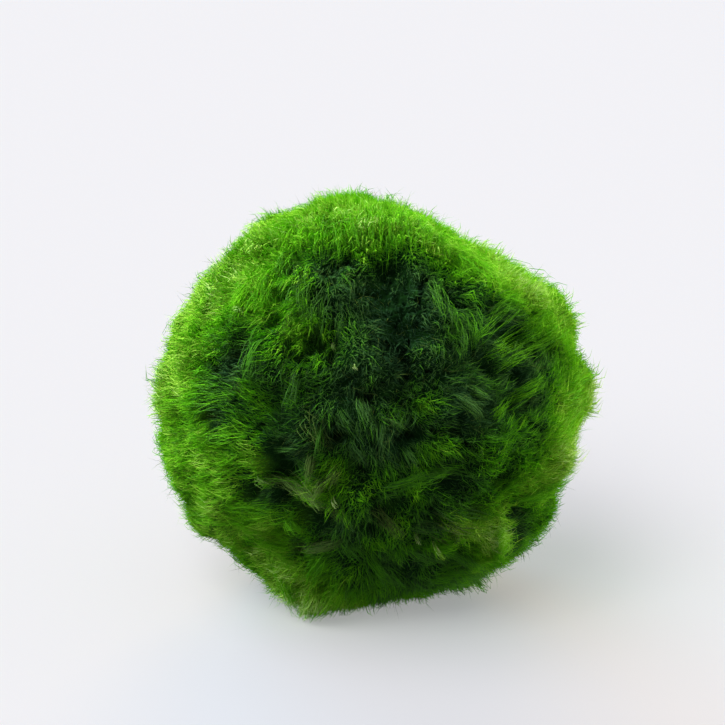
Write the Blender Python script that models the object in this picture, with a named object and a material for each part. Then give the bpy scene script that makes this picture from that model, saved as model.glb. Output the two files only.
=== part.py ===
# A moss ball: one soft, lumpy ball of matted green filaments. Its filament tips stand
# together in leaning locks, with pits between them, and it rests on a small flat spot.
# Metres, +Z up. The origin is the centre of the flat spot, and the front faces -Y.

import math
import random

import bmesh
import bpy
from mathutils import Vector, noise

MM = 0.001

BALL_RADIUS = 22.5 * MM  # reach of the filaments in the creases between the locks
BALL_HEIGHT = 21.6 * MM  # ball centre above the flat spot
FACE_CELLS = 27  # cells along each side of the cube that is rounded into the ball

LOCK_COUNT = 80  # places on the whole ball, before the resting zone is left bare
LOCK_HEIGHT = 2.6 * MM
LOCK_LEAN = 3.0 * MM
LOCK_JITTER = 0.09  # how far a lock strays from its even place, in ball radii
LOCK_TURN = math.radians(35)  # how far a lock's lean turns away from its neighbours'
LOCK_POINT = 0.95  # under 1 a lock is full, above 1 it narrows to a point
CREASE_DEPTH = 1.0 * MM  # valley between two locks
CREASE_ANGLE = math.radians(9)
LEAST_LOCK = 0.65  # a lock's least share of the size that its room allows
SMOOTHING = 0.5  # share of the way that a point is drawn to its neighbours

ROUGHNESS = 0.7 * MM
ROUGHNESS_REPEATS = 6.5  # waves of roughness in one ball radius

PRESSED_FROM = math.radians(-44)  # below this elevation the locks flatten under the ball
PRESSED_TO = math.radians(-64)

SEED = 7
MOSS_GREEN = (0.045, 0.16, 0.012, 1.0)
SHARP_ANGLE = math.radians(60)

# Broad lobes: azimuth from the front (to the right is positive), elevation, height in mm
# (negative is a hollow) and half width, all angles in degrees.
LOBES = (
    (-170, 70, 1.3, 20),  # crown, a little to the left of the middle
    (139, 66, -1.9, 14),
    (-136, 66, -1.1, 10),
    (-118, 52, 1.0, 24),  # upper left shoulder
    (118, 52, -2.4, 20),  # slope from the crown to the right shoulder
    (101, 27, 1.2, 22),  # right shoulder
    (88, -2, 1.0, 17),  # right cheek
    (84, -18, -0.3, 10),
    (-96, 22, 0.3, 14),
    (-92, 0, 1.9, 20),  # left cheek
    (-92, 6, -1.2, 5),
    (-86, -12, 0.7, 10),
    (-74, -38, 1.0, 18),  # lower left cheek
    (-50, -40, -0.8, 9),
    (-28, -53, 3.2, 11),  # foot of the ball, at the front left
    (20, -66, -1.5, 15),  # the front of the underside rises from the ground beside it
    (54, -58, 0.2, 16),
    (74, -36, 1.1, 17),
    (0, -88, 1.0, 26),  # underside
    (8, 36, -1.1, 20),  # shaded hollow down the front
    (-30, 10, 0.5, 25),
    (150, 5, 1.0, 28),
    (-150, 20, 1.2, 26),
    (178, -30, 0.9, 26),
    (130, -38, -0.8, 20),
    (-125, -28, -0.9, 18),
)

# Pits, where the mat shows between the locks: azimuth, elevation, depth in mm, half width.
PITS = (
    (5, 62, 1.8, 7),
    (10, 24, 1.4, 8),
    (-23, -9, 2.4, 6),
    (-11, -17, 2.0, 6),
    (-44, -29, 2.0, 6),
    (51, 33, 2.2, 6),
    (62, 24, 1.8, 5),
    (46, 20, 1.6, 5),
    (22, -5, 1.4, 7),
    (-70, 38, 1.5, 6),
    (-135, 2, 2.0, 7),
    (-165, -12, 1.8, 6),
    (148, 38, 2.0, 7),
    (118, -10, 1.8, 6),
    (172, 20, 1.8, 6),
    (-100, -40, 1.6, 6),
    (100, -48, 1.6, 6),
)

# How the locks are combed: azimuth, elevation, lean to the right, lean upwards.
SWEEPS = (
    (0, 58, 0.0, -1.0),  # forelocks hang over the front hollow
    (35, 45, 0.2, -0.9),
    (-35, 48, -0.3, -0.8),
    (-50, 8, -1.0, -0.1),  # the left side is swept to the left
    (-40, -32, -0.9, 0.45),
    (55, 12, 0.8, 0.65),  # the right side is swept up to the right
    (52, -28, 0.7, 0.6),
    (5, -8, 0.3, -0.7),
    (0, -50, -0.3, -0.8),
    (-100, 30, -0.4, -0.6),
    (100, 30, 0.3, -0.5),
    (-110, -20, -0.5, -0.7),
    (112, -15, 0.7, -0.3),
    (-170, 40, 0.3, -0.9),
    (160, -5, -0.6, -0.6),
    (-150, -35, 0.6, -0.4),
)
SWEEP_WIDTH = math.radians(32)

UP = Vector((0.0, 0.0, 1.0))


def outward(azimuth, elevation):
    """The unit vector from the ball's centre towards a place given in degrees."""
    turn = math.radians(azimuth)
    rise = math.radians(elevation)
    level = math.cos(rise)
    return Vector((math.sin(turn) * level, -math.cos(turn) * level, math.sin(rise)))


def swell(out, places):
    """The height that a list of broad places adds at one direction, in metres."""
    total = 0.0
    for azimuth, elevation, height, half_width in places:
        share = out.angle(outward(azimuth, elevation)) / math.radians(half_width)
        total += height * MM * math.exp(-share * share)
    return total


def combed(out):
    """The way the filaments lean at one direction, along the surface."""
    lean = Vector()
    for azimuth, elevation, right, upwards in SWEEPS:
        place = outward(azimuth, elevation)
        share = out.angle(place) / SWEEP_WIDTH
        east = UP.cross(place).normalized()
        north = place.cross(east)
        lean += (east * right + north * upwards) * math.exp(-share * share)
    lean -= out * lean.dot(out)
    return lean.normalized() if lean.length > 0 else out.orthogonal().normalized()


def pressed(out):
    """1 where the locks stand free, 0 where the ball's weight flattens them."""
    rise = math.asin(max(-1.0, min(1.0, out.z)))
    share = (rise - PRESSED_TO) / (PRESSED_FROM - PRESSED_TO)
    return max(0.0, min(1.0, share))


def scattered(count, chance):
    """Directions spread evenly over the ball in a spiral, then unsettled a little."""
    golden_turn = math.pi * (3 - math.sqrt(5))
    places = []
    for index in range(count):
        z = 1 - (2 * index + 1) / count
        level = math.sqrt(1 - z * z)
        turn = golden_turn * index
        even = Vector((math.cos(turn) * level, math.sin(turn) * level, z))
        stray = Vector([chance.gauss(0, LOCK_JITTER) for _ in range(3)])
        places.append((even + stray).normalized())
    return places


def make_locks():
    """Each lock's direction, lean and size: a lock is smaller where it has less room."""
    chance = random.Random(SEED)
    places = scattered(LOCK_COUNT, chance)
    even_room = math.sqrt(4 * math.pi / LOCK_COUNT)
    locks = []
    for out in places:
        room = min(out.angle(other) for other in places if other is not out)
        size = chance.uniform(LEAST_LOCK, 1.0) * min(1.0, room / even_room)
        lean = combed(out)
        side = out.cross(lean)
        twist = chance.uniform(-LOCK_TURN, LOCK_TURN)
        lean = (lean * math.cos(twist) + side * math.sin(twist)) * size
        locks.append((out, lean, size))
    return locks


def surface_point(out, locks):
    """Where the filament tips reach in one direction from the ball's centre."""
    near = sorted((out.angle(lock[0]), index) for index, lock in enumerate(locks))
    (first, index), (second, _) = near[:2]
    lean, size = locks[index][1:]
    free = pressed(out)
    rise = ((second - first) / (second + first)) ** LOCK_POINT * free
    crease = max(0.0, 1 - (second - first) / CREASE_ANGLE) * free
    radius = BALL_RADIUS + swell(out, LOBES) - swell(out, PITS)
    radius += LOCK_HEIGHT * size * rise - CREASE_DEPTH * crease
    radius += ROUGHNESS * free * noise.noise(out * ROUGHNESS_REPEATS)
    return UP * BALL_HEIGHT + out * radius + lean * (LOCK_LEAN * rise)


def rounded_cube():
    """A ball of even cells: a cube's grid, pushed out to unit radius."""
    ball = bmesh.new()
    bmesh.ops.create_cube(ball, size=2)
    bmesh.ops.subdivide_edges(ball, edges=ball.edges, cuts=FACE_CELLS - 1, use_grid_fill=True)
    for vertex in ball.verts:
        evened = Vector([math.tan(along * math.pi / 4) for along in vertex.co])
        vertex.co = evened.normalized()
    return ball


def cut_flat(ball):
    """Cuts the ball off at the surface it rests on, and closes the cut with a flat face."""
    everything = ball.verts[:] + ball.edges[:] + ball.faces[:]
    bmesh.ops.bisect_plane(ball, geom=everything, plane_co=(0, 0, 0), plane_no=-UP, clear_outer=True)
    rim = [edge for edge in ball.edges if edge.is_boundary]
    bmesh.ops.edgeloop_fill(ball, edges=rim)
    bmesh.ops.recalc_face_normals(ball, faces=ball.faces)


def moss_material():
    material = bpy.data.materials.new("moss")
    material.use_nodes = True
    shader = material.node_tree.nodes["Principled BSDF"]
    shader.inputs["Base Color"].default_value = MOSS_GREEN
    shader.inputs["Roughness"].default_value = 0.85
    shader.inputs["Metallic"].default_value = 0.0
    material.diffuse_color = MOSS_GREEN
    return material


def make_moss_ball(collection):
    locks = make_locks()
    ball = rounded_cube()
    for vertex in ball.verts:
        vertex.co = surface_point(vertex.co.copy(), locks)
    axes = {"use_axis_x": True, "use_axis_y": True, "use_axis_z": True}
    bmesh.ops.smooth_vert(ball, verts=ball.verts, factor=SMOOTHING, **axes)
    cut_flat(ball)
    mesh = bpy.data.meshes.new("moss_ball")
    ball.to_mesh(mesh)
    ball.free()
    mesh.materials.append(moss_material())
    mesh.shade_smooth()
    mesh.set_sharp_from_angle(angle=SHARP_ANGLE)
    moss_ball = bpy.data.objects.new("moss_ball", mesh)
    collection.objects.link(moss_ball)
    return moss_ball


def main():
    for thing in list(bpy.data.objects):
        bpy.data.objects.remove(thing, do_unlink=True)
    collection = bpy.data.collections.new("marimo_moss_ball")
    bpy.context.scene.collection.children.link(collection)
    make_moss_ball(collection)


main()
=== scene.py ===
import math
import random

import bmesh
import bpy
import numpy as np
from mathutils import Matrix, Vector, noise
from mathutils.bvhtree import BVHTree


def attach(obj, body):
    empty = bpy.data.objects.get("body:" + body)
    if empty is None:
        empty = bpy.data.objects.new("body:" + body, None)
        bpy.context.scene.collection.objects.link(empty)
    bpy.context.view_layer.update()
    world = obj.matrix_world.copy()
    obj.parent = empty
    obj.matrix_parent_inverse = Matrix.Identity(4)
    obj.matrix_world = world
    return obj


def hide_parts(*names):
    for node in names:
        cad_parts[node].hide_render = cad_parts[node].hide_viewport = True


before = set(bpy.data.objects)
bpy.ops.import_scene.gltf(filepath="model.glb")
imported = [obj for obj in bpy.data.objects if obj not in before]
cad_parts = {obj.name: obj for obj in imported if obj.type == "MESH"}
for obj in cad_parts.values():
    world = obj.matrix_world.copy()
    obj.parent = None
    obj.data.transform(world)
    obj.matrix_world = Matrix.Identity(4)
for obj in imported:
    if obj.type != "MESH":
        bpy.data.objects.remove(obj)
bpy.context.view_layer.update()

mm = 0.001
uvName = "OFBake"        # u is a filament's tone, v runs from its root to its tip
noise.seed_set(8)        # the vector noise would differ from run to run without it


# A socket that takes part in sums. Numbers meet in a Math node, anything with a vector in Vector Math.
class Wire:
    def __init__(self, bench, socket):
        self.bench = bench
        self.socket = socket
        self.isVector = socket.type in ("VECTOR", "RGBA")

    def joined(self, operation, first, second):
        sides = (first, second)
        anyVector = any(isinstance(side, tuple) or getattr(side, "isVector", False) for side in sides)
        kind = "ShaderNodeVectorMath" if anyVector else "ShaderNodeMath"
        return self.bench.add(kind, {"operation": operation}, {0: first, 1: second})

    def __add__(self, other):
        return self.joined("ADD", self, other)

    def __radd__(self, other):
        return self.joined("ADD", other, self)

    def __sub__(self, other):
        return self.joined("SUBTRACT", self, other)

    def __rsub__(self, other):
        return self.joined("SUBTRACT", other, self)

    def __mul__(self, other):
        otherIsVector = isinstance(other, tuple) or getattr(other, "isVector", False)
        if self.isVector and not otherIsVector:
            sockets = {0: self, "Scale": other}
            return self.bench.add("ShaderNodeVectorMath", {"operation": "SCALE"}, sockets)
        if otherIsVector and not self.isVector:
            return other * self
        return self.joined("MULTIPLY", self, other)

    def __rmul__(self, other):
        return self * other

    def least(self, other):
        return self.joined("MINIMUM", self, other)

    def most(self, other):
        return self.joined("MAXIMUM", self, other)

    def clamped(self):
        return self.most(0.0).least(1.0)

    def part(self, axis):
        return self.bench.add("ShaderNodeSeparateXYZ", {}, {0: self}, axis)

    def dot(self, other):
        settings = {"operation": "DOT_PRODUCT"}
        return self.bench.add("ShaderNodeVectorMath", settings, {0: self, 1: other}, "Value")

    def length(self):
        return self.bench.add("ShaderNodeVectorMath", {"operation": "LENGTH"}, {0: self}, "Value")

    def unit(self):
        return self.bench.add("ShaderNodeVectorMath", {"operation": "NORMALIZE"}, {0: self})


# Builds one node tree, for a material or for Geometry Nodes.
class Bench:
    def __init__(self, tree):
        self.tree = tree

    def add(self, kind, settings, sockets, output=None):
        node = self.tree.nodes.new(kind)
        for name, value in settings.items():
            if name == "stops":
                self.fillRamp(node.color_ramp, value)
            else:
                setattr(node, name, value)
        self.fill(node, sockets)
        return Wire(self, self.pick(node.outputs, output))

    def fill(self, node, sockets):
        for name, value in sockets.items():
            self.plug(self.pick(node.inputs, name), value)

    def pick(self, sockets, name):
        if isinstance(name, int):
            return [socket for socket in sockets if socket.enabled][name]
        return next(socket for socket in sockets if socket.enabled and name in (None, socket.name))

    def plug(self, socket, value):
        if isinstance(value, Wire):
            self.tree.links.new(value.socket, socket)
        else:
            socket.default_value = value

    def fillRamp(self, ramp, stops):
        for place, _ in stops[1:-1]:
            ramp.elements.new(place)
        for element, (place, colour) in zip(ramp.elements, stops):
            element.position = place
            element.color = (*colour, 1.0)

    def ramp(self, value, stops):
        return self.add("ShaderNodeValToRGB", {"stops": stops}, {"Fac": value})

    def clouds(self, place, repeats, detail):
        sockets = {"Vector": place, "Scale": repeats, "Detail": detail}
        return self.add("ShaderNodeTexNoise", {}, sockets, "Fac")

    def mixed(self, factor, first, second):
        settings = {"data_type": "RGBA"}
        return self.add("ShaderNodeMix", settings, {"Factor": factor, "A": first, "B": second})

    def vector(self, x, y, z):
        return self.add("ShaderNodeCombineXYZ", {}, {0: x, 1: y, 2: z})

    def stored(self, geometry, name, kind, value, domain="POINT"):
        settings = {"data_type": kind, "domain": domain}
        sockets = {"Geometry": geometry, "Name": name, "Value": value}
        return self.add("GeometryNodeStoreNamedAttribute", settings, sockets)

    def named(self, name, kind="FLOAT_VECTOR"):
        settings = {"data_type": kind}
        return self.add("GeometryNodeInputNamedAttribute", settings, {"Name": name}, "Attribute")

    def chance(self, low, high, salt, kind="FLOAT"):
        sockets = {"Min": low, "Max": high, "Seed": salt}
        return self.add("FunctionNodeRandomValue", {"data_type": kind}, sockets)


# The direction of a place on the ball, given in degrees. Azimuth 0 is the front, and right is positive.
def aimed(azimuth, elevation):
    turn, rise = math.radians(azimuth), math.radians(elevation)
    return Vector((math.sin(turn) * math.cos(rise), -math.cos(turn) * math.cos(rise), math.sin(rise)))


# Puts a camera, a light or a mesh into the scene.
def placed(name, data):
    thing = bpy.data.objects.new(name, data)
    bpy.context.scene.collection.objects.link(thing)
    return thing


# A material without shine, a bench for its nodes, and its shader.
def startMaterial(name):
    material = bpy.data.materials.new(name)
    material.use_nodes = True
    shader = material.node_tree.nodes["Principled BSDF"]
    shader.inputs["Specular IOR Level"].default_value = 0.0
    return material, Bench(material.node_tree), shader


ball = {
    "centreHeight": 21.6 * mm,
    "radius": 22.5 * mm,
}

camera = {
    "distance": 350 * mm,
    "elevation": 18.0,           # degrees above the level of the ball
    "ballPixel": (374, 402),     # where the ball's centre shows in the photo
    "pixelsPerMm": 8.9,
    "framePixels": 725,
    "sensor": 36.0,
    "clipStart": 10 * mm,
}


def makeCamera():
    rise = math.radians(camera["elevation"])
    toCamera = aimed(0, camera["elevation"])
    upwards = Vector((0, math.sin(rise), math.cos(rise)))
    metresPerPixel = mm / camera["pixelsPerMm"]
    middle = camera["framePixels"] / 2
    right = (middle - camera["ballPixel"][0]) * metresPerPixel
    up = (camera["ballPixel"][1] - middle) * metresPerPixel
    target = Vector((0, 0, ball["centreHeight"])) + Vector((right, 0, 0)) + upwards * up
    data = bpy.data.cameras.new("camera")
    data.sensor_width = camera["sensor"]
    data.lens = camera["sensor"] * camera["distance"] / (camera["framePixels"] * metresPerPixel)
    data.clip_start = camera["clipStart"]
    thing = placed("camera", data)
    thing.location = target + toCamera * camera["distance"]
    thing.rotation_euler = toCamera.to_track_quat("Z", "Y").to_euler()
    bpy.context.scene.camera = thing


light = {
    "ambient": (0.72, 0.86, 1.0),
    "ambientStrength": 0.34,
    # name, what it lights, azimuth and elevation that it comes from, strength, softness in degrees,
    # colour
    "suns": (
        ("keySun", "moss", -162, 52, 7.5, 60, (1.0, 0.98, 0.90)),
        ("leftSun", "moss", -112, 38, 14.0, 60, (0.91, 0.98, 1.04)),
        ("rightSun", "moss", 112, 22, 13.0, 60, (1.0, 0.95, 0.80)),
        ("leftFloorSun", "floor", -90, 60, 0.85, 50, (1.06, 0.9, 1.06)),
        ("frontFloorSun", "floor", -30, 45, 1.2, 40, (1.0, 1.0, 0.96)),
        ("coolFloorSun", "floor", -153, 18, 1.1, 30, (0.55, 0.98, 1.4)),
        ("warmFloorSun", "floor", 177, 18, 0.9, 30, (1.7, 1.0, 0.3)),
    ),
    "floorColour": (0.6, 0.6, 0.6),
    "floorRoughness": 0.7,
    "floorGlow": 0.31,           # light of its own, white
    "floorSize": 4.0,
}


# Each sun lights one collection only, so the floor's soft shadow and the ball's rims are set apart.
def makeLights(lit):
    for name, target, azimuth, elevation, strength, softness, colour in light["suns"]:
        data = bpy.data.lights.new(name, "SUN")
        data.energy = strength
        data.angle = math.radians(softness)
        data.color = colour
        thing = placed(name, data)
        thing.rotation_euler = aimed(azimuth, elevation).to_track_quat("Z", "Y").to_euler()
        thing.light_linking.receiver_collection = lit[target]
    world = bpy.data.worlds.new("softRoom")
    world.use_nodes = True
    sky = world.node_tree.nodes["Background"]
    sky.inputs["Color"].default_value = (*light["ambient"], 1.0)
    sky.inputs["Strength"].default_value = light["ambientStrength"]
    bpy.context.scene.world = world
    bpy.context.scene.view_settings.view_transform = "Standard"


def makeFloor():
    data = bpy.data.meshes.new("floor")
    form = bmesh.new()
    bmesh.ops.create_grid(form, x_segments=1, y_segments=1, size=light["floorSize"] / 2)
    form.to_mesh(data)
    form.free()
    material, bench, shader = startMaterial("paleFloor")
    bench.fill(shader, {
        "Base Color": (*light["floorColour"], 1.0),
        "Roughness": light["floorRoughness"],
        "Emission Color": (1.0, 1.0, 1.0, 1.0),
        "Emission Strength": light["floorGlow"],
    })
    data.materials.append(material)
    floor = placed("floor", data)
    return floor


# One vector for each point of a mesh.
def readVectors(items, field="co"):
    flat = np.empty(len(items) * 3)
    items.foreach_get(field, flat)
    return flat.reshape(-1, 3)


# Keeps a number or a vector for each point of a mesh, for the trees and materials to read.
def storeField(data, name, values):
    values = np.array(values)
    kind, key = ("FLOAT_VECTOR", "vector") if values.ndim > 1 else ("FLOAT", "value")
    field = data.attributes.new(name, kind, "POINT")
    field.data.foreach_set(key, values.ravel())


def unitised(vectors):
    return vectors / np.linalg.norm(vectors, axis=1)[:, None]


# The noise at each point, as a number or as a vector.
def noiseAt(points, repeats, kind):
    return np.array([kind(Vector(point) * repeats) for point in points])


# Swaps a piece's live modifiers for the plain mesh that they make.
def asPlainMesh(piece):
    evaluated = piece.evaluated_get(bpy.context.evaluated_depsgraph_get())
    data = bpy.data.meshes.new_from_object(evaluated)
    data.name = piece.name
    piece.modifiers.clear()
    piece.data = data
    print(piece.name + ":", sum(len(face.vertices) - 2 for face in data.polygons), "triangles")


# Drops the values that only the making needed.
def keepOnly(data, names):
    spare = [field.name for field in data.attributes if not (field.is_internal or field.is_required)]
    for name in spare:
        if name not in names and name not in ("sharp_face", "material_index"):
            data.attributes.remove(data.attributes[name])


# How much of a place, given in degrees, is felt in each direction, from 0 to 1.
def nearness(outward, azimuth, elevation, halfWidth):
    cosines = np.clip(outward @ np.array(aimed(azimuth, elevation)), -1, 1)
    share = np.arccos(cosines) / math.radians(halfWidth)
    return np.exp(-share * share)


mat = {
    "mergeDistance": 1e-6,
    "joinAngle": 60,             # degrees, the most that two triangles of one face may differ
    "smoothPasses": 14,          # how often the solid's form is evened out
    "lockShare": 0.5,            # share of the solid's locks that the mat keeps all the same
    "inset": 0.2 * mm,           # how far inwards it then goes
    "subdivisions": 2,
    "lumps": ((270.0, 0.8 * mm), (700.0, 0.3 * mm)),     # repeats per metre, height
    "pitDepth": 2.5 * mm,
    "clearance": 0.35 * mm,      # above the floor
    # The mat's own dark green, kept near black as painted shade deep in the coat and in its pits.
    "darkest": (0.003, 0.012, 0.004),
    "lightest": (0.012, 0.050, 0.005),
    # Painted sunlight: the mat is painted paler where the painted light patches make the coat pale.
    "sunny": (0.110, 0.300, 0.010),      # between the palest filaments
    "sunnyFrom": 0.04,           # the change of tone at which that starts
    "sunnyBlend": 0.24,
    "sunnyStrands": (0.8, 0.4),  # how much of it the strands' noise adds, and what there is without
    "strandRepeats": 1800.0,     # per metre
    "strandDetail": 3.0,
    "strandShade": 0.6,          # how much paler the strands' noise makes it
    "blotchRepeats": 160.0,
    "blotchDetail": 2.0,
    "blotchShade": 0.9,
    "shadeShift": 0.45,          # taken off both
    "roughness": 0.7,
    "roughnessSpread": 0.25,
    "bump": 0.6,
    "bumpDepth": 0.2 * mm,
}


def makeMatMaterial():
    material, bench, shader = startMaterial("mattedMoss")
    place = bench.add("ShaderNodeTexCoord", {}, {}, "Object")
    strands = bench.clouds(place, mat["strandRepeats"], mat["strandDetail"])
    blotches = bench.clouds(place, mat["blotchRepeats"], mat["blotchDetail"])
    shade = strands * mat["strandShade"] + blotches * mat["blotchShade"] - mat["shadeShift"]
    colour = bench.mixed(shade.clamped(), (*mat["darkest"], 1.0), (*mat["lightest"], 1.0))
    # Painted sunlight on the mat between the palest filaments.
    sunny = bench.add("ShaderNodeAttribute", {"attribute_name": "sunny"}, {}, "Fac")
    added, least = mat["sunnyStrands"]
    sunny = sunny * (strands * added + least).clamped()
    colour = bench.mixed(sunny, colour, (*mat["sunny"], 1.0))
    rough = mat["roughness"] + strands * mat["roughnessSpread"]
    sockets = {"Strength": mat["bump"], "Distance": mat["bumpDepth"], "Height": strands}
    relief = bench.add("ShaderNodeBump", {}, sockets)
    bench.fill(shader, {"Base Color": colour, "Roughness": rough, "Normal": relief})
    return material


# The node's solid as one clean skin of mostly four-sided faces.
def mergedCopy(node, name):
    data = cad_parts[node].data.copy()
    data.name = name
    form = bmesh.new()
    form.from_mesh(data)
    bmesh.ops.remove_doubles(form, verts=form.verts, dist=mat["mergeDistance"])
    wide = math.radians(mat["joinAngle"])
    limits = {"angle_face_threshold": wide, "angle_shape_threshold": wide}
    bmesh.ops.join_triangles(form, faces=form.faces, **limits)
    bmesh.ops.recalc_face_normals(form, faces=form.faces)
    form.to_mesh(data)
    form.free()
    data.materials.clear()
    return data


# Draws each point halfway to the middle of those that it shares an edge with, again and again.
def smoothed(points, ends, passes):
    counts = np.bincount(ends.ravel(), minlength=len(points))[:, None]
    for _ in range(passes):
        total = np.zeros_like(points)
        np.add.at(total, ends[:, 0], points[ends[:, 1]])
        np.add.at(total, ends[:, 1], points[ends[:, 0]])
        points = (points + total / counts) / 2
    return points


# How high the mat's small lumps stand at each point.
def lumpsAt(points):
    total = np.zeros(len(points))
    for repeats, height in mat["lumps"]:
        total += height * noiseAt(points, repeats, noise.noise)
    return total


# How the filaments lie. A stroke's place is an azimuth and an elevation in degrees on the ball, and
# then how far it leans the filaments to the right and upwards, next to 1 outwards.
combing = {
    "strokeWidth": 26.0,         # half width in degrees
    "strokes": (
        (0, 88, 0.0, 0.0),
        (5, 66, 0.1, -1.6),          # forelocks hang over the front hollow
        (-30, 50, -0.2, -2.0),
        (30, 42, 0.3, -2.2),
        (62, 50, 0.5, -0.4),
        (-70, 45, -0.5, -0.2),
        (-52, 12, -1.9, -0.2),       # the left side is swept to the left
        (-85, 10, -0.7, -0.1),
        (-40, -12, -2.4, 0.4),
        (-48, -32, -2.0, 1.3),
        (-24, -52, -1.0, -1.1),
        (40, 24, 2.0, 1.6),          # the right side is swept up to the right
        (60, 12, 1.9, 2.0),
        (88, 8, 0.5, 0.5),
        (58, -24, 1.6, 1.6),
        (45, -52, 1.1, -0.5),
        (5, 12, 0.2, -1.7),
        (12, -14, 0.5, -1.3),
        (5, -45, -0.2, -1.4),
        (38, -28, 0.4, 1.6),
        (-110, 30, -0.8, -1.4),
        (115, 30, 0.8, -1.3),
        (-125, -20, -1.6, -0.8),
        (125, -15, 1.6, -1.0),
        (-170, 45, 0.5, -1.9),
        (165, 5, -1.4, -1.2),
        (-150, -30, 1.2, -1.0),
        (160, -40, 0.8, -0.8),
    ),
    "wander": ((140.0, 1.3), (430.0, 1.1)),      # repeats per metre, size
}


# The way the filaments lean at each point, along the surface.
def combedAt(points, outward):
    total = np.zeros_like(points)
    weights = np.full(len(points), 1e-6)         # never 0
    for azimuth, elevation, right, upwards in combing["strokes"]:
        place = np.array(aimed(azimuth, elevation))
        east = np.array((math.cos(math.radians(azimuth)), math.sin(math.radians(azimuth)), 0.0))
        north = np.cross(place, east)
        near = nearness(outward, azimuth, elevation, combing["strokeWidth"])
        total += near[:, None] * (east * right + north * upwards)
        weights += near
    total /= weights[:, None]
    for repeats, size in combing["wander"]:
        total += size * noiseAt(points, repeats, noise.noise_vector)
    return total - outward * np.sum(total * outward, axis=1)[:, None]


# Where the coat parts and the dark mat shows: azimuth, elevation, half width in degrees, bareness.
partings = (
    (8, 52, 7, 0.6),
    (10, 42, 8, 0.5),
    (13, 27, 6, 0.3),
    (2, 34, 4, 0.3),
    (-27, -1, 4, 1.0),
    (-22, -3, 5, 1.1),
    (-37, -10, 4, 1.0),
    (-27, -11, 4, 0.9),
    (-17, -15, 4.5, 1.1),
    (-29, -23, 4.5, 1.0),
    (-42, -18, 3, 0.4),
    (-56, -29, 3, 0.7),
    (-43, -32, 5, 1.0),
    (-4, 1, 4, 0.3),
    (16, -5, 4, 0.4),
    (-4, -30, 4, 0.8),
    (12, -35, 4, 0.7),
    (54, 33, 5, 0.8),
    (64, 24, 4, 0.7),
    (49, 20, 4, 0.7),
    (42, 12, 5, 0.6),
    (38, 25, 4, 0.6),
    (-41, 54, 3, 0.7),
    (-38, 46, 3, 0.8),
    (-36, 39, 3, 0.8),
    (-25, 60, 3, 0.6),
    (8, 62, 4, 0.7),
    (24, -5, 5, 0.8),
    (32, -15, 4, 0.6),
    (-49, 25, 5, 0.6),
    (-10, 9, 3, 0.8),
    (8, 9, 3, 0.8),
    (15, 10, 3, 0.3),
    (6, -11, 3, 0.5),
    (19, -14, 3, 0.8),
    (0, -19, 3, 0.8),
    (28, -29, 3, 0.8),
    (10, 22, 3, 0.4),
    (-135, 2, 7, 0.9),
    (-165, -12, 6, 1.0),
    (148, 38, 7, 0.9),
    (118, -10, 6, 0.9),
    (172, 20, 6, 0.9),
    (-100, -38, 5, 0.9),
    (100, -44, 5, 0.9),
)

# Creases that wind between the tufts, in some places more than in others.
creases = {
    "repeats": 190.0,            # per metre
    "turnRepeats": 420.0,
    "turns": 0.35,
    "width": 0.085,              # how near to 0 the noise is inside one
    "bareness": 0.85,
    "patchRepeats": 85.0,        # for the places that have them
    "patchGain": 2.5,
    "patchShift": 0.6,
    "raggedRepeats": 260.0,      # what makes a parting's edge uneven
    "raggedness": 0.09,
}


# How bare the coat is at each point, from 0 to 1.
def bareAt(points, outward):
    bare = np.zeros(len(points))
    for index, point in enumerate(points):
        place = Vector(point)
        turn = noise.noise_vector(place * creases["turnRepeats"]) * creases["turns"]
        turned = place * creases["repeats"] + turn
        crease = max(0.0, 1 - abs(noise.noise(turned)) / creases["width"])
        patch = noise.noise(place * creases["patchRepeats"])
        patch = patch * creases["patchGain"] + creases["patchShift"]
        bare[index] = creases["bareness"] * crease * min(1.0, max(0.0, patch))
    ragged = noiseAt(points, creases["raggedRepeats"], noise.noise_vector) * creases["raggedness"]
    ragged = unitised(outward + ragged)
    for azimuth, elevation, halfWidth, bareness in partings:
        bare = np.maximum(bare, bareness * nearness(ragged, azimuth, elevation, halfWidth))
    return np.minimum(bare, 1.0)
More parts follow.
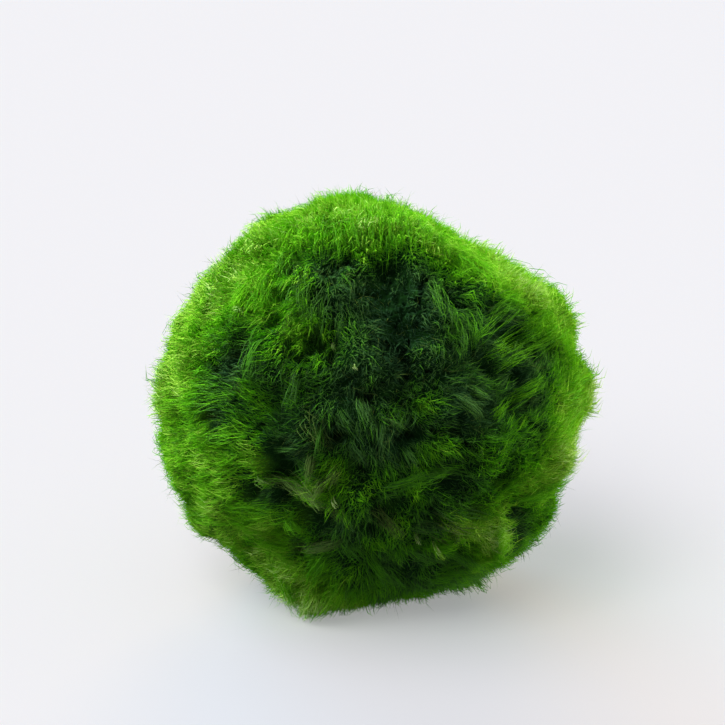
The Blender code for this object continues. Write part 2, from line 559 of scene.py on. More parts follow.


# Painted light and shade: patches of the coat painted paler where light falls and darker where
# shade falls: azimuth, elevation, half width, change of tone.
paintedLightPatches = (
    (6, 14, 34, -0.17),          # the shaded front
    (10, -22, 22, 0.03),
    (8, 48, 16, -0.26),
    (2, 35, 7, 0.14),
    (-36, 62, 10, -0.06),
    (24, 57, 8, -0.25),
    (-20, 48, 12, -0.07),
    (-23, 35, 10, 0.24),
    (10, 66, 12, 0.02),
    (30, 15, 9, -0.12),
    (-13, 25, 9, -0.20),
    (46, 19, 8, -0.14),
    (-90, 33, 12, 0.09),
    (-93, 69, 12, 0.08),
    (-72, 0, 8, 0.03),
    (-49, 25, 9, -0.14),
    (-88, 6, 10, 0.06),
    (-60, 36, 10, -0.08),
    (-39, 27, 8, -0.24),
    (-23, 10, 10, -0.14),
    (3, 29, 7, -0.12),
    (-45, 7, 8, -0.20),
    (28, 17, 8, -0.14),
    (55, 35, 14, -0.22),
    (58, -7, 9, 0.26),
    (46, -13, 6, 0.18),
    (34, -2, 6, 0.12),
    (40, -35, 7, 0.16),
    (56, 12, 6, -0.10),
    (-36, -25, 9, 0.22),
    (-21, -9, 5, 0.26),
    (-34, -1, 6, 0.24),
    (-8, 1, 8, 0.20),
    (14, 2, 7, 0.16),
    (18, 7, 4, 0.14),
    (4, 11, 8, -0.08),
    (-45, -33, 10, 0.16),
    (-24, -20, 5, 0.12),
    (62, -20, 9, 0.06),
    (48, 61, 10, 0.08),
    (31, -23, 9, 0.26),
    (14, -19, 5, -0.12),
    (4, -13, 8, 0.14),
    (4, 82, 18, 0.28),
    (-95, 45, 28, 0.21),
    (-85, 5, 20, 0.16),
    (-56, -8, 14, 0.12),
    (-52, 42, 18, 0.17),
    (-74, 18, 9, 0.08),
    (85, 40, 28, 0.22),
    (73, 44, 9, 0.20),
    (88, -5, 20, 0.22),
    (86, -22, 10, 0.14),
    (-60, -35, 18, 0.14),
    (-28, -54, 12, 0.46),
    (12, -46, 14, -0.14),
    (-13, -9, 6, 0.16),
    (-5, -17, 6, -0.10),
    (48, -26, 6, -0.12),
    (15, 17, 4, 0.30),
    (7, 16, 8, 0.09),
    (40, -26, 5, 0.27),
    (50, -32, 6, -0.34),
    (-31, 14, 5, 0.18),
    (-53, 5, 5, 0.14),
    (27, 4, 6, 0.17),
    (34, 35, 6, -0.22),
    (-15, 32, 5, 0.17),
    (52, 18, 4, -0.12),
    (150, -20, 30, -0.13),       # the back
    (-140, -25, 30, -0.12),
    (-170, 15, 22, -0.06),
    (175, 45, 30, -0.10),
)


# How much paler or darker the coat is painted in each direction, as painted light and shade.
def paintedLightAndShadeAt(outward):
    paintedLightAndShade = np.zeros(len(outward))
    for azimuth, elevation, halfWidth, change in paintedLightPatches:
        paintedLightAndShade += change * nearness(outward, azimuth, elevation, halfWidth)
    return paintedLightAndShade


# The mat has the solid's own form, evened out, and lies a little inside most of it. It carries
# what the filaments follow: the way out, the way they are combed, how thick they stand, how high
# the mat is, and the painted light and shade that makes them paler or darker.
def makeMat():
    data = mergedCopy("moss_ball", "moss_mat")
    tips = readVectors(data.vertices)
    ends = np.empty(len(data.edges) * 2, np.int64)
    data.edges.foreach_get("vertices", ends)
    even = smoothed(tips, ends.reshape(-1, 2), mat["smoothPasses"])
    data.vertices.foreach_set("co", even.ravel())
    data.update()
    outward = readVectors(data.vertex_normals, "vector")
    inner = even + (tips - even) * mat["lockShare"] - outward * mat["inset"]
    data.vertices.foreach_set("co", inner.ravel())
    storeField(data, "outward", outward)
    piece = placed("moss_mat", data)
    finer = piece.modifiers.new("finer", "SUBSURF")
    finer.levels = finer.render_levels = mat["subdivisions"]
    asPlainMesh(piece)
    data = piece.data
    points = readVectors(data.vertices)
    outward = unitised(readVectors(data.attributes["outward"].data, "vector"))
    direction = unitised(points - np.array((0, 0, ball["centreHeight"])))
    bare = bareAt(points, direction)
    lumps = lumpsAt(points)
    comb = combedAt(points, direction)
    points += outward * (lumps - bare * mat["pitDepth"])[:, None]
    points[:, 2] = np.maximum(points[:, 2], mat["clearance"])
    data.vertices.foreach_set("co", points.ravel())
    data.attributes["outward"].data.foreach_set("vector", outward.ravel())
    storeField(data, "comb", comb)
    storeField(data, "cover", 1 - bare)
    storeField(data, "relief", lumps / mat["lumps"][0][1])
    # The painted light and shade, and the painted sunlight on the mat where that is pale.
    paintedLightAndShade = paintedLightAndShadeAt(direction)
    storeField(data, "paintedLightAndShade", paintedLightAndShade)
    sunny = np.clip((paintedLightAndShade - mat["sunnyFrom"]) / mat["sunnyBlend"], 0, 1) * (1 - bare)
    storeField(data, "sunny", sunny)
    data.materials.append(makeMatMaterial())
    data.shade_smooth()
    data.update()
    return piece


# An empty tree with its inputs named, and what goes in through each. An input that isn't among
# the kinds is a plain number.
def startTree(name, start, labels, result):
    kinds = {"Segments": "NodeSocketInt", "Seed": "NodeSocketInt", "Material": "NodeSocketMaterial"}
    tree = bpy.data.node_groups.new(name, "GeometryNodeTree")
    tree.interface.new_socket(start, in_out="INPUT", socket_type="NodeSocketGeometry")
    for label in labels:
        kind = kinds.get(label, "NodeSocketFloat")
        tree.interface.new_socket(label, in_out="INPUT", socket_type=kind)
    tree.interface.new_socket(result, in_out="OUTPUT", socket_type="NodeSocketGeometry")
    bench = Bench(tree)
    entry = tree.nodes.new("NodeGroupInput")
    given = {socket.name: Wire(bench, socket) for socket in entry.outputs if socket.name}
    return tree, bench, given


filament = {
    "fullness": 1.3,             # what keeps it thick until near the tip
    "radiusSpread": (0.75, 1.2),
    "toneAcross": 0.004,         # change of tone from its middle to its side
    "clearance": 0.05 * mm,      # above the floor
}


# Grows a filament on each root, along the root's span. It bows on the way by the root's bow.
def growOn(bench, roots, given):
    place = bench.add("GeometryNodeInputPosition", {}, {})

    # One filament: a three-sided spike, a unit long, that keeps its thickness until near the tip.
    sides = {"Vertices": 3, "Side Segments": given["Segments"]}
    sockets = {**sides, "Radius Top": 0.0, "Radius Bottom": 1.0, "Depth": 1.0}
    spike = bench.add("GeometryNodeMeshCone", {"fill_type": "NONE"}, sockets)
    spike = bench.stored(spike, "along", "FLOAT", place.part("Z"))
    spike = bench.stored(spike, "around", "FLOAT", place.part("Y"))
    fuller = 1.0 + filament["fullness"] * place.part("Z")
    thick = bench.vector(place.part("X") * fuller, place.part("Y") * fuller, place.part("Z"))
    spike = bench.add("GeometryNodeSetPosition", {}, {"Geometry": spike, "Position": thick})

    span = bench.named("span")
    turned = bench.add("FunctionNodeAlignRotationToVector", {"axis": "Z"}, {"Vector": span})
    radius = given["Radius"] * bench.chance(*filament["radiusSpread"], given["Seed"] + 5)
    scale = bench.vector(radius, radius, span.length())
    sockets = {"Points": roots, "Instance": spike, "Rotation": turned, "Scale": scale}
    filaments = bench.add("GeometryNodeInstanceOnPoints", {}, sockets)
    filaments = bench.add("GeometryNodeRealizeInstances", {}, {"Geometry": filaments})

    along = bench.named("along", "FLOAT")
    bent = place + bench.named("bow") * (along * (1.0 - along))
    rested = bench.vector(bent.part("X"), bent.part("Y"), bent.part("Z").most(filament["clearance"]))
    filaments = bench.add("GeometryNodeSetPosition", {}, {"Geometry": filaments, "Position": rested})
    across = bench.named("tone", "FLOAT") + bench.named("around", "FLOAT") * filament["toneAcross"]
    filaments = bench.stored(filaments, uvName, "FLOAT2", bench.vector(across, along, 0.0), "CORNER")
    sockets = {"Geometry": filaments, "Material": given["Material"]}
    filaments = bench.add("GeometryNodeSetMaterial", {}, sockets)
    leave = bench.tree.nodes.new("NodeGroupOutput")
    bench.tree.links.new(filaments.socket, leave.inputs[0])


coat = {
    "tuftSpacing": 2.0 * mm,
    "tuftHeight": (0.7, 1.25),   # shares of a filament's own length
    "rimHeight": 0.35,           # the least share that a tuft's rim keeps
    "wispSpacing": 1.6 * mm,
    "wispStray": 0.7,
    "wispLength": (0.7, 1.0),    # shares of the longest filament
    "mostPlaces": 1e7,           # tufts or wisps on a square metre, before they are spaced out
    "pitLength": 0.5,            # share of its length that a filament keeps in a pit
    "ownTone": 0.35,             # shares of the tone that a filament, its tuft and its place give
    "tuftTone": 0.35,
    "placeTone": 0.3,
    "placeRepeats": 170.0,       # per metre
    "placeDetail": 1.0,
    "placeGain": 2.4,
    "placeShift": 0.7,
    "toneGain": 1.7,             # the three together are spread by this, and lowered by the shift
    "toneShift": 0.35,
    # Painted light and shade on the filaments: paler on a lump, darker at a tuft's rim and in a pit,
    # and evener where the painted sunlight lies.
    "lumpPaintedLight": 0.42,           # how much paler the filaments are on a lump
    "rimShade": 0.25,            # how much darker they are at a tuft's rim
    "leastTone": 0.2,
    "pitShade": 0.42,            # how much darker the filaments are in a pit
    "sunnyCalm": 0.5,            # how much more even their tones are in the sun
}

# Each kind of filament: how many stand on a square metre, its lengths and radius, how far it leans
# next to 1 outwards (Comb, Fan and Stray), and shares for most of the rest.
filamentKinds = {
    "thatch_filaments": {
        "Density": 5.0e6, "Length low": 0.5 * mm, "Length high": 1.0 * mm, "Comb": 0.4, "Fan": 0.3,
        "Dome": 0.0, "Stray": 1.3, "Wisp pull": 0.0, "Radius": 0.080 * mm, "Segments": 1,
        "Knee": 0.7, "Sway": 0.0, "Tone low": 0.3, "Tone high": 0.6, "Seed": 11,
    },
    "pile_filaments": {
        "Density": 8.2e6, "Length low": 0.7 * mm, "Length high": 1.3 * mm, "Comb": 0.6, "Fan": 0.7,
        "Dome": 0.35, "Stray": 1.0, "Wisp pull": 0.0, "Radius": 0.058 * mm, "Segments": 1,
        "Knee": 0.8, "Sway": 0.0, "Tone low": 0.42, "Tone high": 0.67, "Seed": 21,
    },
    "fringe_filaments": {
        "Density": 8.2e6, "Length low": 0.9 * mm, "Length high": 1.6 * mm, "Comb": 0.7, "Fan": 0.7,
        "Dome": 0.3, "Stray": 1.0, "Wisp pull": 0.0, "Radius": 0.046 * mm, "Segments": 1,
        "Knee": 0.7, "Sway": 0.0, "Tone low": 0.45, "Tone high": 0.71, "Seed": 31,
    },
    "curled_filaments": {
        "Density": 1.9e6, "Length low": 1.1 * mm, "Length high": 2.0 * mm, "Comb": 0.9, "Fan": 0.5,
        "Dome": 0.2, "Stray": 1.0, "Wisp pull": 0.2, "Radius": 0.046 * mm, "Segments": 2,
        "Knee": 0.9, "Sway": 0.35, "Tone low": 0.43, "Tone high": 0.74, "Seed": 41,
    },
    "swept_filaments": {
        "Density": 0.8e6, "Length low": 1.6 * mm, "Length high": 2.8 * mm, "Comb": 1.3, "Fan": 0.3,
        "Dome": 0.0, "Stray": 0.8, "Wisp pull": 0.5, "Radius": 0.050 * mm, "Segments": 2,
        "Knee": 0.9, "Sway": 0.25, "Tone low": 0.43, "Tone high": 0.76, "Seed": 51,
    },
    "stray_hairs": {
        "Density": 0.75e6, "Length low": 1.5 * mm, "Length high": 2.6 * mm, "Comb": 0.25, "Fan": 0.3,
        "Dome": 0.0, "Stray": 0.9, "Wisp pull": 0.0, "Radius": 0.021 * mm, "Segments": 2,
        "Knee": 0.5, "Sway": 0.2, "Tone low": 0.1, "Tone high": 0.8, "Seed": 61,
    },
}


def makeFilamentTree():
    labels = [*filamentKinds["thatch_filaments"], "Material"]
    tree, bench, given = startTree("mossFilaments", "Mat", labels, "Filaments")
    seed = given["Seed"]

    def spread(size, salt):
        return bench.chance((-1.0, -1.0, -1.0), (1.0, 1.0, 1.0), salt, "FLOAT_VECTOR") * size

    def scattered(method, salt, sockets):
        sockets = {"Mesh": given["Mat"], "Seed": salt, **sockets}
        return bench.add("GeometryNodeDistributePointsOnFaces", {"distribute_method": method}, sockets)

    def spaced(distance, salt):
        return scattered("POISSON", salt, {"Distance Min": distance, "Density Max": coat["mostPlaces"]})

    def nearest(target, attribute, kind="FLOAT_VECTOR"):
        sockets = {"Geometry": target, "Sample Position": place}
        index = bench.add("GeometryNodeSampleNearest", {}, sockets, "Index")
        sockets = {"Geometry": target, "Value": bench.named(attribute, kind), "Index": index}
        return bench.add("GeometryNodeSampleIndex", {"data_type": kind}, sockets)

    place = bench.add("GeometryNodeInputPosition", {}, {})
    outward = bench.named("outward").unit()
    cover = bench.named("cover", "FLOAT")

    # A tuft's filaments fan out from its middle, and are shorter at its rim.
    tufts = spaced(coat["tuftSpacing"], 3)
    tufts = bench.stored(tufts, "middle", "FLOAT_VECTOR", place)
    tufts = bench.stored(tufts, "tuftTone", "FLOAT", bench.chance(0.0, 1.0, 4))
    tufts = bench.stored(tufts, "tuftHeight", "FLOAT", bench.chance(*coat["tuftHeight"], 5))
    fromMiddle = (place - nearest(tufts, "middle")) * (1.0 / coat["tuftSpacing"])
    rim = fromMiddle.dot(fromMiddle)
    dome = (1.0 - rim * given["Dome"]).most(coat["rimHeight"]) * nearest(tufts, "tuftHeight", "FLOAT")

    # Wisps draw the tips of their filaments together.
    wisps = spaced(coat["wispSpacing"], 7)
    lean = outward + bench.named("comb") * given["Comb"] + spread(coat["wispStray"], 8)
    length = given["Length high"] * bench.chance(*coat["wispLength"], 9)
    wisps = bench.stored(wisps, "tip", "FLOAT_VECTOR", place + lean.unit() * length)

    # Every filament starts on its own. Its bow is twice the way from the middle of its span to its
    # knee, the point that it bends towards.
    roots = scattered("RANDOM", seed, {"Density": given["Density"] * cover})
    combed = outward + bench.named("comb") * given["Comb"]
    lean = combed + fromMiddle * given["Fan"] + spread(given["Stray"], seed + 1)
    length = bench.chance(given["Length low"], given["Length high"], seed + 2) * dome
    span = lean.unit() * length * (cover * (1.0 - coat["pitLength"]) + coat["pitLength"])
    span = span + (nearest(wisps, "tip") - place - span) * given["Wisp pull"]
    knee = outward * (span.dot(outward) * given["Knee"]) - span * 0.5
    bow = knee * 2.0 + spread(given["Sway"], seed + 3) * span.length() * 2.0

    # A tuft has a tone, and so has each filament in it.
    patch = bench.clouds(place, coat["placeRepeats"], coat["placeDetail"])
    blend = bench.chance(0.0, 1.0, seed + 4) * coat["ownTone"]
    blend = blend + nearest(tufts, "tuftTone", "FLOAT") * coat["tuftTone"]
    blend = blend + (patch * coat["placeGain"] - coat["placeShift"]).clamped() * coat["placeTone"]
    blend = blend * coat["toneGain"] - coat["toneShift"]
    # Painted light on the mat's lumps and painted shade at a tuft's rim.
    blend = blend + bench.named("relief", "FLOAT") * coat["lumpPaintedLight"]
    blend = (blend - rim * coat["rimShade"]).clamped()
    blend = blend + (0.5 - blend) * (bench.named("sunny", "FLOAT") * coat["sunnyCalm"])
    tone = given["Tone low"] + (given["Tone high"] - given["Tone low"]) * blend
    # Painted light and shade from the patches, and painted shade in the pits.
    tone = tone + bench.named("paintedLightAndShade", "FLOAT") - (1.0 - cover) * coat["pitShade"]
    tone = tone.most(given["Tone low"].least(coat["leastTone"])).least(1.0)
    roots = bench.stored(roots, "span", "FLOAT_VECTOR", span)
    roots = bench.stored(roots, "bow", "FLOAT_VECTOR", bow)
    roots = bench.stored(roots, "tone", "FLOAT", tone)
    growOn(bench, roots, given)
    return tree


filamentLook = {
    # tone, colour at the root, darker than at the tip as painted shade deep in the coat
    "roots": (
        (0.0, (0.012, 0.013, 0.007)),
        (0.2, (0.005, 0.015, 0.007)),
        (0.5, (0.018, 0.070, 0.012)),
        (0.65, (0.080, 0.225, 0.008)),
        (0.8, (0.180, 0.350, 0.020)),
        (1.0, (0.340, 0.500, 0.060)),
    ),
    # tone, colour at the tip; the palest tones are whitened as painted sheen, and the dark greens
    # take a painted bluish reflection
    "tips": (
        (0.0, (0.075, 0.065, 0.025)),
        (0.11, (0.068, 0.118, 0.022)),
        (0.2, (0.014, 0.042, 0.015)),
        (0.35, (0.035, 0.088, 0.019)),
        (0.5, (0.055, 0.203, 0.010)),
        (0.65, (0.112, 0.345, 0.006)),
        (0.8, (0.285, 0.475, 0.045)),
        (1.0, (0.560, 0.680, 0.260)),
    ),
    "rootEnd": 0.4,                  # share of the length that takes the root's colour over
    "glow": (0.18, 0.54, 0.010),     # light that comes through a filament
    "glowShare": 0.4,
    "glowFrom": 0.32,                # the tone at which it starts
    "glowBlend": 0.3,
    "roughness": 0.5,
}


def makeFilamentMaterial():
    material, bench, shader = startMaterial("mossFilament")
    place = bench.add("ShaderNodeUVMap", {"uv_map": uvName}, {})
    tone, along = place.part("X"), place.part("Y")
    root = bench.ramp(tone, filamentLook["roots"])
    tip = bench.ramp(tone, filamentLook["tips"])
    sockets = {"Value": along, "From Min": 0.0, "From Max": filamentLook["rootEnd"]}
    rise = bench.add("ShaderNodeMapRange", {"interpolation_type": "SMOOTHSTEP"}, sockets, "Result")
    colour = bench.mixed(rise, root, tip)
    bench.fill(shader, {"Base Color": colour, "Roughness": filamentLook["roughness"]})
    glow = bench.add("ShaderNodeBsdfTranslucent", {}, {"Color": (*filamentLook["glow"], 1.0)})
    lively = ((tone - filamentLook["glowFrom"]) * (1.0 / filamentLook["glowBlend"])).clamped()
    share = rise * lively * filamentLook["glowShare"]
    sockets = {"Fac": share, 1: Wire(bench, shader.outputs[0]), 2: glow}
    both = bench.add("ShaderNodeMixShader", {}, sockets)
    bench.plug(material.node_tree.nodes["Material Output"].inputs["Surface"], both)
    return material


# A piece that a tree grows on a mesh.
def grown(name, data, tree, values):
    piece = placed(name, data)
    grow = piece.modifiers.new("grow", "NODES")
    grow.node_group = tree
    items = [item for item in tree.interface.items_tree if item.in_out == "INPUT"]
    sockets = {item.name: item.identifier for item in items}
    for label, value in values.items():
        grow[sockets[label]] = value
    asPlainMesh(piece)
    keepOnly(piece.data, (uvName,))
    return piece


def makeFilaments(matPiece, material):
    tree = makeFilamentTree()
    pieces = []
    for name, kind in filamentKinds.items():
        pieces.append(grown(name, matPiece.data.copy(), tree, {**kind, "Material": material}))
    return pieces


lock = {
    "radius": 0.036 * mm,
    "segments": 3,
    "crossing": 0.8,             # how far its strands cross, next to its width
    "strandReach": (6, 13),      # degrees on the ball
    "strandMost": 0.7,           # the most of a lock's length that one strand takes
    "strandSpread": 0.6,         # how far its strands stray, next to its width
    "tipStray": 0.5,             # share of that at a strand's tip
    "strandHeight": (0.2, 1.1),  # shares of how far the lock stands off
    "overPits": 1.6,             # a lock that stands off less than this, in mm, leaves the pits open
    "rootDepth": 0.3 * mm,       # how far its roots start inside the mat
    "sway": 0.2,
    "toneSpread": 0.10,
    "castFrom": 60 * mm,         # how far from the ball's middle the search for the mat starts
    "matRadius": 20 * mm,        # taken where it isn't found
    "others": 120,               # places all round for locks besides those in the table
    "otherJitter": 0.08,         # how far those stray, next to the ball's radius
    "otherCombing": 22 * mm,     # distance from the ball's middle at which their combing is read
    "otherTone": 0.5,
    "otherPaintedLight": 0.8,            # how far they follow the patches
    "otherWidth": (0.6, 1.2),    # mm
    "otherLift": (0.8, 1.3),     # mm
    "otherLowest": -0.8,         # none grow below this, next to 1 straight up
    "otherLength": (10, 18),     # degrees
    "otherStrands": 26,
    "front": (0, 8),             # middle of the part of the ball that the table covers
    "frontWidth": 62,            # its half width in degrees
    "seed": 5,
}

# Long locks that lie over the coat: azimuth and elevation where each starts and where it ends, its
# half width in mm, how many strands it has, their tone, and how far they stand off in mm.
locks = (
    (-89, 65, -54, 58, 1.3, 60, 0.60, 1.1),       # the fringe over the hollow
    (-88, 70, -40, 58, 1.2, 60, 0.57, 1.5),
    (-83, 75, -27, 58, 1.1, 60, 0.54, 1.6),
    (-74, 79, -21, 61, 1.1, 70, 0.54, 1.6),
    (-62, 83, -12, 63, 1.1, 70, 0.55, 1.7),
    (-24, 87, -2, 62, 1.1, 70, 0.54, 1.7),
    (42, 85, 7, 61, 1.1, 70, 0.53, 1.7),
    (60, 81, 18, 62, 1.1, 70, 0.54, 1.7),
    (65, 76, 30, 62, 1.1, 60, 0.56, 1.5),
    (65, 70, 38, 58, 1.2, 60, 0.55, 1.4),
    (66, 64, 45, 50, 1.2, 60, 0.58, 1.4),
    (68, 58, 51, 44, 1.2, 60, 0.58, 1.3),
    (-59, 61, -36, 43, 1.1, 60, 0.47, 1.2),       # locks that hang down the left of the hollow
    (-37, 57, -25, 37, 1.0, 60, 0.42, 1.2),
    (-23, 51, -19, 33, 0.9, 50, 0.40, 1.2),
    (-59, 54, -42, 37, 1.2, 60, 0.56, 1.2),
    (-63, 47, -50, 33, 1.3, 60, 0.60, 1.1),
    (-41, 35, -36, 19, 1.2, 50, 0.44, 1.1),
    (-25, 30, -23, 14, 1.0, 40, 0.36, 1.0),
    (-15, 47, -13, 31, 0.8, 30, 0.32, 1.0),
    (-43, 16, -68, 7, 1.3, 70, 0.54, 1.1),        # the left side, swept to the left
    (-37, 8, -64, -4, 1.4, 80, 0.58, 1.1),
    (-32, 1, -63, -13, 1.3, 80, 0.60, 1.1),
    (-12, -10, -34, -3, 0.7, 50, 0.54, 1.5),
    (-12, -6, -28, 2, 0.6, 40, 0.46, 1.3),
    (-22, -18, -47, -15, 0.8, 60, 0.60, 1.4),
    (-29, -35, -47, -16, 0.6, 50, 0.66, 1.6),
    (-28, -40, -44, -22, 0.7, 60, 0.60, 1.4),
    (-35, -20, -80, -27, 0.9, 60, 0.60, 1.2),
    (-7, -21, -21, -11, 0.6, 40, 0.42, 1.3),
    (-10, -36, -46, -65, 1.2, 90, 0.62, 1.0),     # the foot
    (-18, -35, -50, -63, 1.0, 70, 0.64, 1.0),
    (-4, -39, -34, -69, 1.1, 70, 0.52, 1.0),
    (-25, -33, -60, -57, 1.0, 60, 0.66, 1.0),
    (7, -45, -1, -62, 1.2, 60, 0.34, 0.8),
    (36, 28, 77, 31, 1.0, 110, 0.56, 1.4),        # the right side, swept up to the right
    (39, 23, 81, 26, 0.9, 100, 0.56, 1.4),
    (33, 33, 65, 40, 1.0, 60, 0.52, 1.4),
    (58, 24, 98, 23, 0.9, 60, 0.54, 1.3),
    (60, 9, 93, 9, 1.0, 70, 0.54, 1.2),
    (53, 0, 81, 3, 1.1, 70, 0.56, 1.2),
    (69, 43, 104, 37, 1.1, 60, 0.66, 1.0),
    (43, 12, 60, 17, 0.9, 70, 0.54, 1.2),
    (50, -16, 69, -11, 1.1, 70, 0.56, 1.2),
    (43, -19, 55, -13, 0.9, 60, 0.54, 1.3),
    (40, -35, 40, -19, 0.5, 80, 0.70, 1.8),
    (52, -38, 58, -30, 0.9, 50, 0.52, 1.1),
    (46, -48, 68, -56, 0.8, 60, 0.44, 1.6),
    (30, -44, 58, -60, 0.9, 50, 0.36, 1.4),
    (20, -30, 44, -38, 0.7, 50, 0.44, 1.4),
    (6, -28, 30, -36, 0.7, 50, 0.40, 1.4),
    (-6, -30, 14, -46, 0.7, 50, 0.42, 1.4),
    (12, -3, 32, -4, 0.5, 30, 0.40, 1.6),
    (33, 50, 29, 34, 0.7, 40, 0.46, 1.4),         # long strands on the right of the hollow
    (32, 42, 28, 27, 0.7, 40, 0.42, 1.4),
    (30, 56, 24, 40, 0.8, 40, 0.42, 1.3),
    (41, 45, 34, 30, 0.7, 40, 0.46, 1.3),
    (-36, -5, -16, -8, 0.6, 70, 0.12, 1.8),       # olive and pale strands that cross beside the pits
    (-26, -7, -11, -10, 0.6, 50, 0.12, 1.9),
    (-17, 5, -18, -5, 0.5, 40, 0.12, 1.8),
    (-14, -9, -11, -20, 1.0, 50, 0.12, 1.3),
    (14, -17, 34, -22, 1.2, 40, 0.12, 1.3),
    (-20, 14, -10, 6, 1.2, 40, 0.12, 1.1),
    (-27, -9, -12, -12, 0.4, 24, 0.56, 1.8),
    (-13, -1, -17, -8, 0.5, 40, 0.12, 1.7),
    (-8, -24, -26, -28, 0.6, 50, 0.13, 1.4),
    (-2, -12, 10, -22, 0.7, 40, 0.13, 1.3),
    (-15, 13, -15, 3, 0.4, 24, 0.42, 1.4),
    (-12, 17, -6, 9, 0.8, 40, 0.37, 1.4),         # rounded tufts down the middle
    (-9, 9, -1, 1, 0.9, 50, 0.33, 1.4),
    (-5, 22, -1, 13, 0.9, 50, 0.34, 1.6),
    (3, 14, 1, 4, 0.9, 50, 0.32, 1.5),
    (13, 17, 7, 8, 0.8, 50, 0.34, 1.4),
    (7, 8, 12, 0, 0.7, 40, 0.36, 1.4),
    (5, -5, 27, -1, 0.5, 60, 0.50, 1.7),
    (0, -8, 15, -1, 0.8, 60, 0.46, 1.5),
    (22, 21, 32, 10, 0.6, 30, 0.34, 1.6),
    (28, 21, 35, 16, 0.6, 30, 0.36, 1.5),
    (15, -13, 38, -19, 0.8, 60, 0.38, 1.4),
    (9, -19, 25, -19, 0.8, 60, 0.36, 1.4),
    (14, -29, 27, -22, 0.35, 50, 0.60, 1.6),      # strands that cross under the front
    (20, -29, 21, -27, 0.3, 24, 0.78, 1.6),
    (-12, -23, -1, -35, 0.4, 40, 0.46, 1.6),
    (-5, -28, 6, -39, 0.3, 24, 0.50, 1.8),
    (13, -43, 55, -45, 0.7, 70, 0.42, 1.4),
    (20, -43, 35, -37, 0.5, 50, 0.50, 1.5),
    (45, -38, 37, -26, 0.5, 40, 0.54, 1.5),
    (-42, -37, -31, -54, 0.8, 70, 0.62, 1.3),     # left of the foot
    (-10, -43, -45, -65, 0.8, 80, 0.62, 1.3),
    (-16, -29, -26, -42, 0.7, 60, 0.54, 1.4),
    (-34, -15, -27, -24, 0.6, 60, 0.60, 1.5),
    (-29, -18, -21, -22, 0.4, 40, 0.56, 1.6),
    (36, 9, 44, 15, 0.8, 60, 0.56, 1.4),          # beside the right side's roots
    (36, -13, 45, -9, 0.8, 60, 0.54, 1.4),
    # The pale specks are painted glints; the olive ones are the moss's own colour.
    (-15, 36, -14, 33, 0.25, 12, 1.00, 1.2),      # pale and olive specks
    (-7, 29, -5, 27, 0.2, 10, 0.98, 1.0),
    (-55, 39, -52, 37, 0.25, 12, 1.00, 1.1),
    (12, -23, 14, -25, 0.25, 12, 1.00, 1.1),
    (-12, -8, -9, -10, 0.2, 9, 0.97, 1.3),
    (18, -25, 21, -28, 0.25, 12, 0.95, 1.2),
    (23, -25, 26, -21, 0.3, 24, 0.13, 1.4),
    (-32, 36, -31, 40, 0.8, 22, 0.125, 1.3),
    (-13, -6, -10, 1, 0.6, 40, 0.13, 1.3),
    (-43, 15, -41, 20, 0.7, 40, 0.13, 1.2),
    (-9, -17, -11, -8, 0.9, 24, 0.14, 1.2),
)


# The partings again, as directions, widths and depths.
pitPlaces = np.array([aimed(azimuth, elevation) for azimuth, elevation, _, _ in partings])
pitWidths = np.radians([halfWidth for _, _, halfWidth, _ in partings])
pitDepths = np.array([bareness for _, _, _, bareness in partings])


# How deep in a pit a direction points, from 0 to 1.
def pitAt(direction):
    share = np.arccos(np.clip(pitPlaces @ np.array(direction), -1, 1)) / pitWidths
    return np.max(pitDepths * np.exp(-share * share))


# A direction that lies a share of the way from one to another.
def turnedTowards(start, end, share):
    return start.lerp(end, share).normalized()


# The azimuth and elevation of a direction.
def degreesOf(direction):
    azimuth = math.degrees(math.atan2(direction.x, -direction.y))
    return azimuth, math.degrees(math.asin(direction.normalized().z))


# Where a lock's strands start, and the way that each one goes.
def strandsOf(lockRow, surface, chance):
    startAzimuth, startElevation, endAzimuth, endElevation, width, count, tone, lift = lockRow
    start, end = aimed(startAzimuth, startElevation), aimed(endAzimuth, endElevation)
    angularWidth = width * mm / ball["radius"]
    middle = Vector((0, 0, ball["centreHeight"]))
    strands = []

    def onMat(direction):
        found = surface.ray_cast(middle + direction * lock["castFrom"], -direction)[0]
        return found or middle + direction * lock["matRadius"]

    def strayed():
        return Vector([chance.gauss(0, lock["strandSpread"]) for _ in range(3)]) * angularWidth

    for _ in range(count):
        stray, cross = strayed(), strayed()
        reach = math.radians(chance.uniform(*lock["strandReach"])) / start.angle(end)
        reach = min(reach, lock["strandMost"])
        begun = chance.uniform(0, 1 - reach)
        first = turnedTowards(start, end, begun) + stray
        last = turnedTowards(start, end, begun + reach)
        last = last + stray * lock["tipStray"] + cross * lock["crossing"]
        first.normalize()
        last.normalize()
        if lift < lock["overPits"] and chance.random() < max(pitAt(first), pitAt(last)):
            continue
        height = lift * mm * chance.uniform(*lock["strandHeight"])
        root = onMat(first) - first * lock["rootDepth"]
        tip = onMat(last) + last * height
        halfway = turnedTowards(first, last, 0.5)
        crest = onMat(halfway) + halfway * height
        span = tip - root
        sway = Vector([chance.gauss(0, 1) for _ in range(3)]) * span.length * lock["sway"]
        bow = (crest - (root + tip) / 2) * 4 + sway      # a quarter of it is felt halfway
        shade = min(1.0, max(0.0, tone + chance.gauss(0, lock["toneSpread"]) * min(1.0, tone)))
        strands.append((root, span, bow, shade))
    return strands


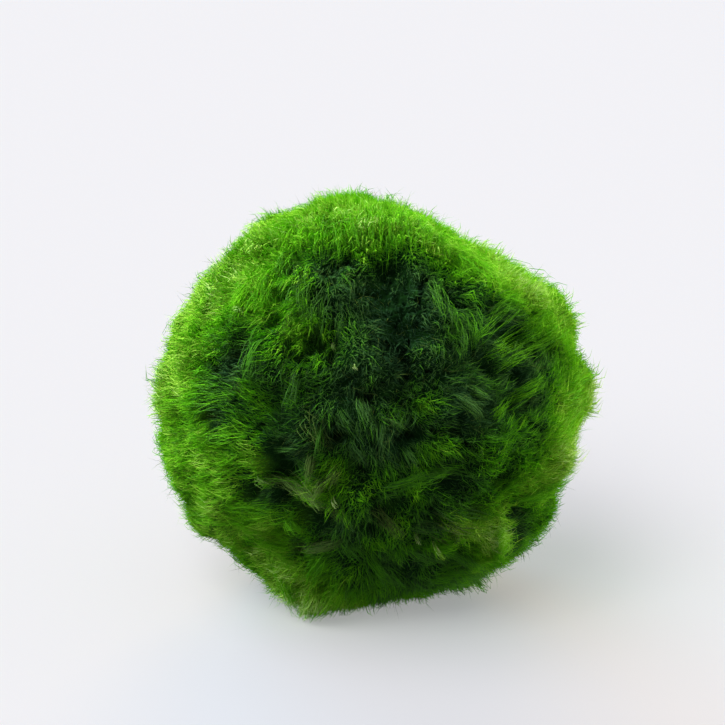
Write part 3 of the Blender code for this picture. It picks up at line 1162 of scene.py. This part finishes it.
# Locks that follow the combing, all round but for the front.
def otherLocks(chance):
    front = aimed(*lock["front"])
    rows = []
    for index in range(lock["others"]):
        rise = 1 - (2 * index + 1) / lock["others"]
        turn = index * math.pi * (3 - math.sqrt(5))      # a spiral of evenly spaced places
        level = math.sqrt(1 - rise * rise)
        place = Vector((math.cos(turn) * level, math.sin(turn) * level, rise))
        stray = Vector([chance.gauss(0, lock["otherJitter"]) for _ in range(3)])
        place = (place + stray).normalized()
        lean = Vector(combedAt(np.array([place * lock["otherCombing"]]), np.array([place]))[0])
        far = place + lean.normalized() * math.radians(chance.uniform(*lock["otherLength"]))
        # Their tone follows the painted light and shade patches.
        tone = lock["otherTone"] + float(paintedLightAndShadeAt(np.array([place]))[0]) * lock["otherPaintedLight"]
        width = chance.uniform(*lock["otherWidth"])
        row = (*degreesOf(place), *degreesOf(far), width, lock["otherStrands"], tone)
        if place.angle(front) > math.radians(lock["frontWidth"]) and place.z > lock["otherLowest"]:
            rows.append((*row, chance.uniform(*lock["otherLift"])))
    return rows


def makeLocks(matPiece, material):
    surface = BVHTree.FromObject(matPiece, bpy.context.evaluated_depsgraph_get())
    chance = random.Random(lock["seed"])
    strands = []
    for row in [*locks, *otherLocks(chance)]:
        strands += strandsOf(row, surface, chance)
    data = bpy.data.meshes.new("lock_roots")
    roots, *fields = zip(*strands)
    data.from_pydata(roots, [], [])
    for name, values in zip(("span", "bow", "tone"), fields):
        storeField(data, name, values)
    values = {"Radius": lock["radius"], "Segments": lock["segments"], "Seed": lock["seed"]}
    values["Material"] = material
    tree, bench, given = startTree("lockStrands", "Roots", values, "Strands")
    growOn(bench, given["Roots"], given)
    return grown("long_locks", data, tree, values)


lit = {target: bpy.data.collections.new(target + "Light") for target in ("moss", "floor")}
makeCamera()
makeLights(lit)
lit["floor"].objects.link(makeFloor())
print("stage set")
matPiece = makeMat()
moss = makeFilamentMaterial()
pieces = [matPiece] + makeFilaments(matPiece, moss) + [makeLocks(matPiece, moss)]
for piece in pieces:
    lit["moss"].objects.link(piece)
keepOnly(matPiece.data, ("sunny",))
for piece in pieces:
    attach(piece, "root")
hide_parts("moss_ball")
